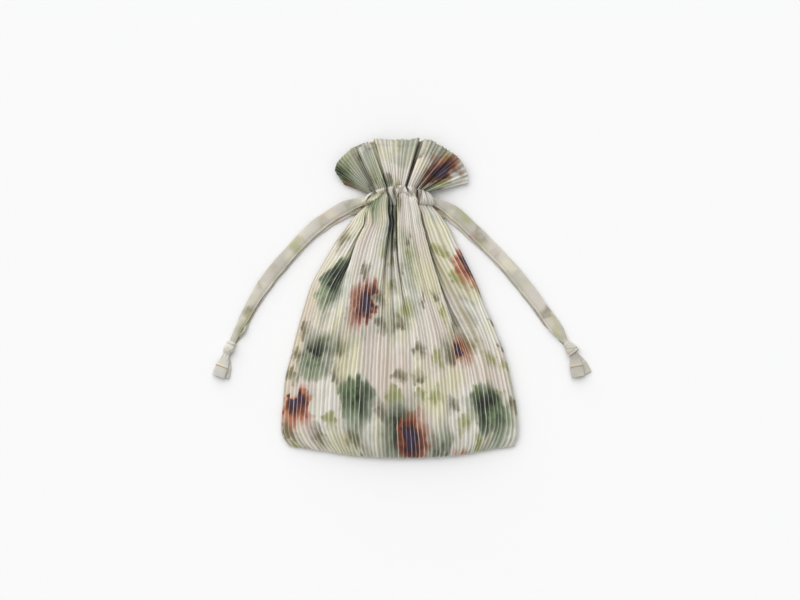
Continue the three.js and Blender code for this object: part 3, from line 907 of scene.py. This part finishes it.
def print_material(cloth, design):
    """Blurred blooms and washes on a pale ground, combed by the pleats, over a fine weave, with a painted
    highlight on the crests and painted shade in the hollows and folds.
    """
    material, tree = new_material(design.name)
    uv = add(tree, "ShaderNodeUVMap", uv_map="cloth").outputs["UV"]
    ridge = add(tree, "ShaderNodeAttribute", attribute_name="ridge").outputs["Fac"]
    fold = add(tree, "ShaderNodeAttribute", attribute_name="shade").outputs["Fac"]
    flat = vector_maths(tree, "ADD", combed_cloth(tree, uv, PLEAT_JOG), design.offset)
    soft = swirled(tree, flat, *SOFT_SWIRL)
    torn = swirled(tree, soft, *TORN_SWIRL)

    colour = cloth.ground
    for wash in GROUND_WASHES:
        colour = washed(tree, colour, cloth, soft, wash)
    colour = washed(tree, colour, cloth, torn, GREEN_HAZE, more=design.green)
    lucky = pleat_chance(tree, uv, 0.37)
    colour = blend_colour(tree, ramp(tree, lucky, 0.62, 1.0, 0.0, 0.4), colour, cloth.tan)

    distance, lot, tone = motifs(tree, torn, FLECKS)
    fleck = blend_colour(tree, ramp(tree, tone, 0.3, 0.7), cloth.olive, cloth.lime)
    colour = blend_colour(tree, spots(tree, distance, lot, FLECKS_CHOSEN, FLECK), colour, fleck)

    distance, lot, tone = motifs(tree, soft, LEAVES)
    leaf = blend_colour(tree, ramp(tree, tone, 0.2, 0.8), cloth.sage, cloth.leaf)
    chosen = LEAVES_CHOSEN + design.green
    colour = blend_colour(tree, spots(tree, distance, lot, chosen, LEAF), colour, leaf)
    depth = ramp(tree, noise_at(tree, torn, (5.0, 8.0, 0.0), 4.5), 0.36, 0.56)
    dark = maths(tree, "MULTIPLY", spots(tree, distance, lot, chosen, LEAF_HEART), depth)
    colour = blend_colour(tree, dark, colour, cloth.moss)

    distance, lot, tone = motifs(tree, torn, BLOOMS)
    flame = blend_colour(tree, ramp(tree, tone, 0.3, 0.7), cloth.rust, cloth.ember)
    for spot, tint in ((BLOOM, flame), (BLOOM_HEART, cloth.plum), (BLOOM_MIDDLE, cloth.violet)):
        colour = blend_colour(tree, spots(tree, distance, lot, design.rust, spot), colour, tint)

    # Crests are lightened towards the ridge colour: a painted highlight, uneven like wear
    crest_noise = noise_at(tree, uv, (6.0, 2.0, 0.0), 11.0, 3.0)
    crest_light_and_wear = ramp(tree, crest_noise, 0.3, 0.65, 0.6 * design.rubbed, design.rubbed)
    crest = maths(tree, "MULTIPLY", ramp(tree, ridge, 0.5, 1.0), crest_light_and_wear)
    colour = blend_colour(tree, crest, colour, cloth.ridge)
    tinted = ramp(tree, pleat_chance(tree, uv, 7.9), 0.0, 1.0, 0.9 * design.tone, 1.05 * design.tone)
    # Painted shade: darker in the hollows between the pleats, and darker still in folds by the shade
    # attribute
    grey = maths(tree, "MULTIPLY", ramp(tree, ridge, 0.0, 0.42, design.hollow, 1.0), tinted)
    grey = maths(tree, "MULTIPLY", grey, ramp(tree, fold, 0.0, 1.0, 1.0, FOLD_SHADE))
    shade = add(tree, "ShaderNodeCombineColor", {"Red": grey, "Green": grey, "Blue": grey})
    colour = blend_colour(tree, 1.0, colour, shade.outputs["Color"], "MULTIPLY")
    finish_cloth(tree, uv, colour, PRINT_ROUGHNESS)
    return material


def finish_surface(tree, height, bump_size, **surface):
    """A shader with a bump, and the material's output."""
    strength, distance = bump_size
    bump = add(tree, "ShaderNodeBump", {"Height": height, "Strength": strength, "Distance": distance})
    inputs = {name.replace("_", " ").title(): value for name, value in surface.items()}
    shader = add(tree, "ShaderNodeBsdfPrincipled", {**inputs, "Normal": bump.outputs["Normal"]})
    add(tree, "ShaderNodeOutputMaterial", {"Surface": shader.outputs["BSDF"]})


def finish_cloth(tree, uv, colour, roughness):
    """A woven surface with a soft sheen."""
    threads = [
        add(tree, "ShaderNodeTexWave", {"Vector": uv, "Scale": WEAVE, "Distortion": 1.5}, bands_direction=way)
        for way in ("X", "Y")
    ]
    weave = maths(tree, "ADD", threads[0].outputs["Fac"], threads[1].outputs["Fac"])
    fuzz = add(tree, "ShaderNodeTexNoise", {"Vector": uv, "Scale": FUZZ}).outputs["Fac"]
    rough = ramp(tree, fuzz, 0.2, 0.8, roughness - FUZZ_DEPTH, roughness + FUZZ_DEPTH)
    finish_surface(
        tree, weave, WEAVE_BUMP, base_color=colour, roughness=rough, sheen_weight=0.15, sheen_roughness=0.5
    )


def tie_material(name, cloth, ground, offset, stained):
    """Plain tape cloth with soft smudges of the print."""
    material, tree = new_material(name)
    uv = add(tree, "ShaderNodeUVMap", uv_map="cloth").outputs["UV"]
    place = vector_maths(tree, "ADD", swirled(tree, uv, *TIE_SWIRL), offset)
    colour = ground
    for wash in TIE_WASHES:
        colour = washed(tree, colour, cloth, place, wash, stained)
    finish_cloth(tree, uv, colour, TIE_ROUGHNESS)
    return material


def thread_material(name, colour):
    """Twisted sewing thread."""
    material, tree = new_material(name)
    place = add(tree, "ShaderNodeTexCoord").outputs["Object"]
    wave = add(tree, "ShaderNodeTexWave", {"Vector": place, "Scale": TWIST}, bands_direction="DIAGONAL")
    twist = wave.outputs["Fac"]
    # The twist's bands are darkened towards the thread's painted shade colour
    tone = blend_colour(tree, ramp(tree, twist, 0.2, 0.9, 0.0, 0.4), colour, THREAD_SHADE)
    finish_surface(tree, twist, TWIST_BUMP, base_color=tone, roughness=0.6, sheen_weight=0.2)
    return material


# Ties, knots and tails: the slit above the knot is in shares of the length, and the runs are millimetres

TiePath = namedtuple("TiePath", "points away run length loose")
TIE_STEPS = 130
SLIT_AT = 0.917
SLIT_LONG = 0.034
FALL_RUN = 60.0
SHOW_RUN = 90.0
HIDDEN_RUN = 6.0
WIDEN_RUN = 24.0
ON_EDGE = 1.7
TAPE_POINTS = 32
TAPE_WIDE = 14.0
STITCH_AT = -0.66
FURROW = 0.6
FURROW_HALF = 0.09
UNEVEN = 0.03
FINE_UNEVEN = 0.015
ROLL = 4.0
EDGE_RIPPLE = 0.25
KNOT_STEPS = 44
KNOT_POINTS = 40
KNOT_WIDE = 18.0
CREASE = 0.16
SECOND_CREASE = 0.1
RUMPLE = 0.03
PUCKER = 0.6
TAIL_STEPS = np.concatenate(
    [np.linspace(-1.0, 12.5, 22), np.linspace(12.7, 13.4, 5), np.linspace(13.8, 25.4, 18)]
)
Stitch = namedtuple("Stitch", "length thick")
TOP_STITCH = Stitch(2.1, 0.5)
HEM_STITCH = Stitch(2.1, 1.1)
SIDE_STITCH = Stitch(2.0, 0.42)

# A direction that no two faces of a stitch are level in, so that they have the same order in each run
STITCH_ORDER = Vector((1.0, 3.0, 30.0))


def tie_path(route, strand):
    """Points along a strand: down from the casing, then flat on the surface, shifted to the bag's side."""
    flat = np.array(route)
    run = np.concatenate([[0.0], np.cumsum(np.hypot(*np.diff(flat, axis=0).T))])
    fine = np.linspace(0.0, run[-1], TIE_STEPS)
    x, y = through(run, flat.T, fine)
    way = np.gradient(np.stack([x, y], axis=1), axis=0)
    way /= np.linalg.norm(way, axis=1)[:, None]
    away = np.sign(flat[-1, 0]) * np.stack([-way[:, 1], way[:, 0]], axis=1)
    loose = hump(fine / run[-1] - SLIT_AT, SLIT_LONG)
    aside = mix(strand.near, strand.far, ease(fine / SHOW_RUN)) + strand.bow * loose
    height = mix(strand.exit, strand.rest, ease(fine / FALL_RUN)) + ON_EDGE * strand.narrow * loose
    points = np.stack([x - aside * away[:, 0], y - aside * away[:, 1], height], axis=1)
    return TiePath(points, away, fine, run[-1], loose)


def squared(wave, power):
    """A wave from -1 to 1 whose rounds are squared out."""
    return np.sign(wave) * np.abs(wave) ** power


def tape_places(wave=np.cos):
    """Places round a tape's section: across it with a cosine, and through it with a sine."""
    return squared(wave(np.linspace(0.0, 2.0 * math.pi, TAPE_POINTS, endpoint=False)), 0.75)


def tape_section(half, thick, crown, furrow):
    """A flat tape's section: rounded edges, a soft crown, and a furrow along its stitched edge."""
    across, up = tape_places(), tape_places(np.sin)
    sunk = furrow * hump(across - STITCH_AT, FURROW_HALF) * (up > 0.0)
    arch = crown * (1.0 - across**2)
    return across * half[:, None], squared(up, 0.6) * thick[:, None] / 2.0 + arch - sunk


def tie_points(path, strand, width, thick, seed):
    """Points of a strand: narrow at the casing and the knot, and a little uneven between them."""
    widths = columns(LEFT_WIDTHS if strand.side == "left" else RIGHT_WIDTHS)
    share = np.interp(path.length - path.run, widths.to_knot, widths.share)
    share = share * mix(strand.start, 1.0, ease((path.run - HIDDEN_RUN) / WIDEN_RUN))
    uneven = 1.0 + UNEVEN * np.sin(path.run / 9.0 + seed) + FINE_UNEVEN * np.sin(path.run / 4.3)
    half = 0.5 * width * share * uneven * (1.0 - strand.narrow * path.loose)
    on_edge = thick + 2.0 * ON_EDGE * strand.narrow * path.loose
    across, up = tape_section(half, on_edge, strand.crown, FURROW)
    roll = np.radians(ROLL * np.sin(path.run / 19.0 + seed))[:, None]
    ripple = EDGE_RIPPLE * np.sin(path.run / 3.1 + seed)[:, None] * (across / 7.0) ** 2
    x = path.points[:, 0, None] + path.away[:, 0, None] * across
    y = path.points[:, 1, None] + path.away[:, 1, None] * across
    z = path.points[:, 2, None] + up + across * np.sin(roll) * 0.5 + ripple
    return np.stack([x, y, np.maximum(z, LOWEST)], axis=2)


def heading(degrees):
    """A direction on the floor, as its cosine and sine."""
    return math.cos(math.radians(degrees)), math.sin(math.radians(degrees))


def placed(points, at, turn):
    """Points of a knot or a tail, turned and moved to the end of its tie."""
    cos, sin = heading(turn)
    x = points[..., 0] * cos - points[..., 1] * sin + at[0]
    y = points[..., 0] * sin + points[..., 1] * cos + at[1]
    return np.stack([x, y, points[..., 2]], axis=-1)


def knot_points(table):
    """Points of a knot, with creases where its turns wrap round it."""
    rows = columns(table)
    steps = np.linspace(table[0].along, table[-1].along, KNOT_STEPS)
    along, half, tall = through(rows.along, rows, steps)[:, :, None]
    turn = np.linspace(0.0, 2.0 * math.pi, KNOT_POINTS, endpoint=False)
    along = steps[:, None] + 0.0 * turn
    wrap = hump(along - 1.5 + 3.2 * np.cos(turn), 0.55)
    second = hump(along + 3.6 - 0.9 * np.cos(turn), 0.4)
    crease = 1.0 - CREASE * wrap - SECOND_CREASE * second + RUMPLE * np.sin(7.0 * turn + along)
    x = half * squared(np.cos(turn), 0.85) * crease
    z = 0.1 + tall / 2.0 * (1.0 + squared(np.sin(turn), 0.8) * crease)
    return np.stack([x, along, z], axis=2), steps


def tail_points(base):
    """Points of a tail, which puckers at the knot and is thicker at its hem."""
    rows = columns(TAIL_ROWS)
    half = np.interp(TAIL_STEPS, rows.along, rows.half)
    thick = np.interp(TAIL_STEPS, rows.along, rows.thick)
    across, up = tape_section(half, thick, 0.3, 0.0)
    pucker = PUCKER * np.sin(2.1 * across + 0.6) * ease(1.15 - TAIL_STEPS / 11.0)[:, None]
    z = base + thick[:, None] / 2.0 + up + pucker
    y = TAIL_STEPS[:, None] + 0.0 * across
    return np.stack([across, y, np.maximum(z, LOWEST)], axis=2), TAIL_STEPS


def tube(name, points, run, material, width):
    """A closed tube through sections, with coordinates in the tape's own millimetres."""
    points_round = points.shape[1]
    cloth = np.linspace(0.0, 2.0 * width, points_round + 1)
    mesh = wrapped_grid(name, points, cloth, run, np.zeros(points_round), cap=True)
    return new_piece(name, mesh, material)


def stitches(name, marks, stitch, material):
    """A row of short threads: each mark is a middle point and a direction."""
    bead = bmesh.new()
    bmesh.ops.create_uvsphere(bead, u_segments=6, v_segments=4, radius=0.5)
    bead.faces.sort(key=lambda face: face.calc_center_median().dot(STITCH_ORDER))
    pattern = finished_mesh("stitch", bead)
    local = np.array([vert.co for vert in pattern.vertices]) * (stitch.length, stitch.thick, stitch.thick)
    bm = bmesh.new()
    points = []
    for middle, way in marks:
        bm.from_mesh(pattern)
        angle = math.degrees(math.atan2(way[1], way[0]))
        points.extend(placed(local, middle, angle) + (0.0, 0.0, middle[2]))
    for vert, point in zip(bm.verts, points):
        vert.co = point * MM
    bpy.data.meshes.remove(pattern)
    return new_piece(name, finished_mesh(name, bm), material)


# Operators, with the stage's camera in metres, its lamp in degrees, and the rows of stitches in millimetres

SENSOR = 36.0
SPAN_HEIGHT = 0.008
CAMERA_Y = -0.002
FAR_CLIP = 50.0
FLOOR_HALF = 6.0
FLOOR_ROUGHNESS = 0.9
FLOOR_GLOSS = 0.1
LAMP_TURN = (-44.0, -24.0, 0.0)
LAMP_SPREAD = 80.0
LAMP_POWER = 2.71
SKY_POWER = 0.55
TOP_STITCH_ENDS = 6
TOP_STITCH_RAISE = 0.05
HEM_AT = 14.5
HEM_HALF = 5.2
HEM_STITCHES = 6
HEM_RAISE = 2.8
SIDE_SEAM_RAISE = 0.15


class BAG_OT_stage(bpy.types.Operator):
    """Lay the pale floor and set the soft light and the camera over it"""

    bl_idname = "bag.stage"
    bl_label = "Stage"

    def execute(self, context):
        stage = context.scene.bag_stage
        camera = bpy.data.cameras.new("camera")
        camera.sensor_width = SENSOR
        camera.lens = SENSOR * (stage.height - SPAN_HEIGHT) / stage.span
        camera.clip_end = FAR_CLIP
        eye = bpy.data.objects.new("camera", camera)
        eye.location = (0.0, CAMERA_Y, stage.height)
        context.scene.collection.objects.link(eye)
        context.scene.camera = eye

        bm = bmesh.new()
        bmesh.ops.create_grid(bm, x_segments=1, y_segments=1, size=FLOOR_HALF)
        paper = bpy.data.materials.new("floor paper")
        paper.use_nodes = True
        shader = paper.node_tree.nodes["Principled BSDF"]
        shader.inputs["Base Color"].default_value = (*stage.floor, 1.0)
        shader.inputs["Roughness"].default_value = FLOOR_ROUGHNESS
        shader.inputs["Specular IOR Level"].default_value = FLOOR_GLOSS
        floor = new_piece("floor", finished_mesh("floor", bm), paper)

        light = bpy.data.lights.new("softbox", "SUN")
        light.angle = math.radians(LAMP_SPREAD)
        light.energy = LAMP_POWER
        lamp = bpy.data.objects.new("softbox", light)
        lamp.rotation_euler = [math.radians(angle) for angle in LAMP_TURN]
        context.scene.collection.objects.link(lamp)
        world = bpy.data.worlds.new("studio")
        world.use_nodes = True
        sky = world.node_tree.nodes["Background"]
        sky.inputs["Color"].default_value = (1.0, 1.0, 1.0, 1.0)
        sky.inputs["Strength"].default_value = SKY_POWER
        context.scene.world = world
        context.scene.view_settings.view_transform = "Standard"
        context.scene.view_settings.look = "None"
        return {"FINISHED"}


class BAG_OT_ties(bpy.types.Operator):
    """Lay two flat ties on each side, with their knots, hemmed tails and stitches"""

    bl_idname = "bag.ties"
    bl_label = "Ties"

    def execute(self, context):
        cloth, ties = context.scene.bag_cloth, context.scene.bag_ties
        thread = thread_material("hem thread", ties.thread)
        seam = thread_material("seam thread", ties.seam)
        for end, route in zip(ENDS, (LEFT_ROUTE, RIGHT_ROUTE)):
            ground = ties.ends if end.pale else ties.cloth
            plain = tie_material(f"knot cloth {end.side}", cloth, ground, end.offset, KNOT_STAIN)
            pieces = self.knot_and_tails(end, plain, thread)
            front = tie_material(f"tie cloth {end.side}", cloth, ties.cloth, end.offset, TIE_STAIN)
            back = tie_material(f"tie lining {end.side}", cloth, ties.cloth, LINING_OFFSET, LINING_STAIN)
            tapes = {"front": front, "back": back}
            for strand in STRANDS:
                if strand.side == end.side:
                    self.strand(strand, route, ties, tapes[strand.layer], seam, pieces)
        return {"FINISHED"}

    def strand(self, strand, route, ties, tape, thread, pieces):
        path = tie_path(route, strand)
        points = tie_points(path, strand, ties.width / MM, ties.thickness / MM, strand.seed)
        name = f"tie_{strand.side}_{strand.layer}"
        piece = tube(f"{name}_cloth", points, path.run, tape, TAPE_WIDE)
        settle_piece(piece, "tie_cloth", name)
        company = pieces[strand.layer]
        if strand.layer == "front":
            company = [pieces["knot"], *company, self.topstitch(strand.side, path, points, thread)]

    def topstitch(self, side, path, points, thread):
        """A line of short stitches in the furrow along a tie."""
        seam = int(np.argmin(np.abs(tape_places() - STITCH_AT) + (tape_places(np.sin) < 0.0)))
        rows = np.arange(TOP_STITCH_ENDS, len(path.run) - TOP_STITCH_ENDS, 2)
        ways = np.gradient(path.points, axis=0)
        marks = [(points[row, seam] + (0.0, 0.0, TOP_STITCH_RAISE), ways[row]) for row in rows]
        sewn = stitches(f"topstitch_{side}", marks, TOP_STITCH, thread)
        settle_piece(sewn, "tie_cloth")
        return sewn

    def knot_and_tails(self, end, tape, thread):
        points, run = knot_points(end.knot)
        knot = tube(f"knot_{end.side}_cloth", placed(points, end.at, end.turn), run, tape, KNOT_WIDE)
        settle_piece(knot, "tie_cloth", f"knot_{end.side}")
        made = {"knot": knot}
        cos, sin = heading(end.turn)
        start = (end.at[0] - TAIL_START * sin, end.at[1] + TAIL_START * cos)
        for layer, base, swing in (("front", FRONT_TAIL, end.front), ("back", BACK_TAIL, end.back)):
            points, run = tail_points(base)
            name = f"tail_{end.side}_{layer}"
            tail = tube(f"{name}_cloth", placed(points, start, end.turn + swing), run, tape, TAPE_WIDE)
            settle_piece(tail, "tie_cloth", name)
            made[layer] = [tail]
            if layer == "front":
                made[layer].append(self.hem_stitches(end, start, thread))
        return made

    def hem_stitches(self, end, start, thread):
        """A row of stitches across the hem of a front tail."""
        turn = end.turn + end.front
        places = np.linspace(-HEM_HALF, HEM_HALF, HEM_STITCHES)
        row = np.array([(x, HEM_AT, FRONT_TAIL + HEM_RAISE) for x in places])
        marks = [(middle, heading(turn)) for middle in placed(row, start, turn)]
        sewn = stitches(f"hem_stitches_{end.side}", marks, HEM_STITCH, thread)
        settle_piece(sewn, "tie_cloth")
        return sewn


def cloth_piece(node, loop, points, run, ridge, shade, cloth, design, weld_base=False):
    """A wall of pleated, printed cloth that stands for a node."""
    name = f"{node}_cloth"
    mesh = wrapped_grid(name, points, loop.cloth, run, ridge, shade, weld_base)
    piece = new_piece(name, mesh, print_material(cloth, design))
    thicken(piece, cloth.thickness)
    settle_piece(piece, "printed_cloth", node)
    return piece


class BAG_OT_pouch(bpy.types.Operator):
    """Drape the pleated pouch from the neck to the base seam"""

    bl_idname = "bag.pouch"
    bl_label = "Pouch"

    def execute(self, context):
        cloth = context.scene.bag_cloth
        loop = PleatedLoop(cloth.pleats)
        points, run, shade = pouch_points(loop, cloth.pleat_depth / MM)
        # The base edge's last row takes the painted crest highlight, as a crest does
        rim = BASE_RIM * (np.arange(len(run)) == len(run) - 1)[:, None]
        ridge = np.maximum(loop.ridge, rim)
        piece = cloth_piece("pouch", loop, points, run, ridge, shade, cloth, POUCH_PRINT, weld_base=True)
        return {"FINISHED"}


class BAG_OT_casing(bpy.types.Operator):
    """Gather the casing's puffs round the neck"""

    bl_idname = "bag.casing"
    bl_label = "Casing"

    def execute(self, context):
        cloth = context.scene.bag_cloth
        loop = PleatedLoop(cloth.pleats)
        pouch, _, low_shade = pouch_points(loop, cloth.pleat_depth / MM)
        frill, _, high_shade = frill_points(loop, cloth.pleat_depth / MM)
        neck_row = int(np.argmin(np.abs(POUCH_ROWS - NECK_Y)))
        points, run = casing_points(pouch[neck_row], frill[1])
        # Painted shade, blended from the pouch's neck to the frill's neck
        shade = np.linspace(low_shade[neck_row], high_shade[1], len(run))
        piece = cloth_piece("casing", loop, points, run, loop.ridge, shade, cloth, CASING_PRINT)
        return {"FINISHED"}


class BAG_OT_frill(bpy.types.Operator):
    """Fan the frill out above the casing, with the stitches along its sides"""

    bl_idname = "bag.frill"
    bl_label = "Frill"

    def execute(self, context):
        cloth = context.scene.bag_cloth
        loop = PleatedLoop(cloth.pleats)
        points, run, shade = frill_points(loop, cloth.pleat_depth / MM)
        piece = cloth_piece("frill", loop, points, run, loop.ridge, shade, cloth, FRILL_PRINT)
        thread = thread_material("side thread", cloth.side_thread)
        sewn = [self.side_stitches(side, loop, points, thread) for side in ("left", "right")]
        return {"FINISHED"}

    def side_stitches(self, side, loop, points, thread):
        """Short slanting stitches along a crest near one end of the frill."""
        crests = np.flatnonzero(loop.is_front & (loop.ridge > SIDE_SEAM_CREST))
        line = points[:, crests[np.argmin(np.abs(loop.place[crests] - SIDE_SEAM_AT[side]))]]
        run = np.concatenate([[0.0], np.cumsum(np.linalg.norm(np.diff(line, axis=0), axis=1))])
        sewn_at = np.arange(SIDE_SEAM_START, run[-1] - SIDE_SEAM_STOP, SIDE_SEAM_STEP)
        middles = np.stack([np.interp(sewn_at, run, line[:, axis]) for axis in range(3)], axis=1)
        way = line[-1] - line[0]
        slant = heading(math.degrees(math.atan2(way[1], way[0])) + SIDE_SEAM_SLANT)
        marks = [(middle + (0.0, 0.0, SIDE_SEAM_RAISE), slant) for middle in middles]
        sewn = stitches(f"side_stitches_{side}", marks, SIDE_STITCH, thread)
        settle_piece(sewn, "printed_cloth")
        return sewn


class BAG_PT_sidebar(bpy.types.Panel):
    """The bag's settings and the steps that build it"""

    bl_idname = "BAG_PT_sidebar"
    bl_label = "Pleated bag"
    bl_space_type = "VIEW_3D"
    bl_region_type = "UI"
    bl_category = "Bag"

    def draw(self, context):
        layout = self.layout
        for settings in (context.scene.bag_cloth, context.scene.bag_ties, context.scene.bag_stage):
            for name in settings.__annotations__:
                layout.prop(settings, name)
        for operator in STEPS:
            layout.operator(operator.bl_idname)


STEPS = (BAG_OT_stage, BAG_OT_ties, BAG_OT_pouch, BAG_OT_casing, BAG_OT_frill)
SETTINGS = {"bag_cloth": BagClothSettings, "bag_ties": BagTieSettings, "bag_stage": BagStageSettings}


def register():
    for name, group in SETTINGS.items():
        bpy.utils.register_class(group)
        setattr(bpy.types.Scene, name, bpy.props.PointerProperty(type=group))
    for kind in (*STEPS, BAG_PT_sidebar):
        bpy.utils.register_class(kind)


def unregister():
    for kind in (BAG_PT_sidebar, *reversed(STEPS)):
        bpy.utils.unregister_class(kind)
    for name, group in SETTINGS.items():
        delattr(bpy.types.Scene, name)
        bpy.utils.unregister_class(group)


def main():
    register()
    bpy.ops.bag.stage()
    bpy.ops.bag.ties()
    bpy.ops.bag.pouch()
    bpy.ops.bag.casing()
    bpy.ops.bag.frill()


if __name__ == "__main__":
    main()
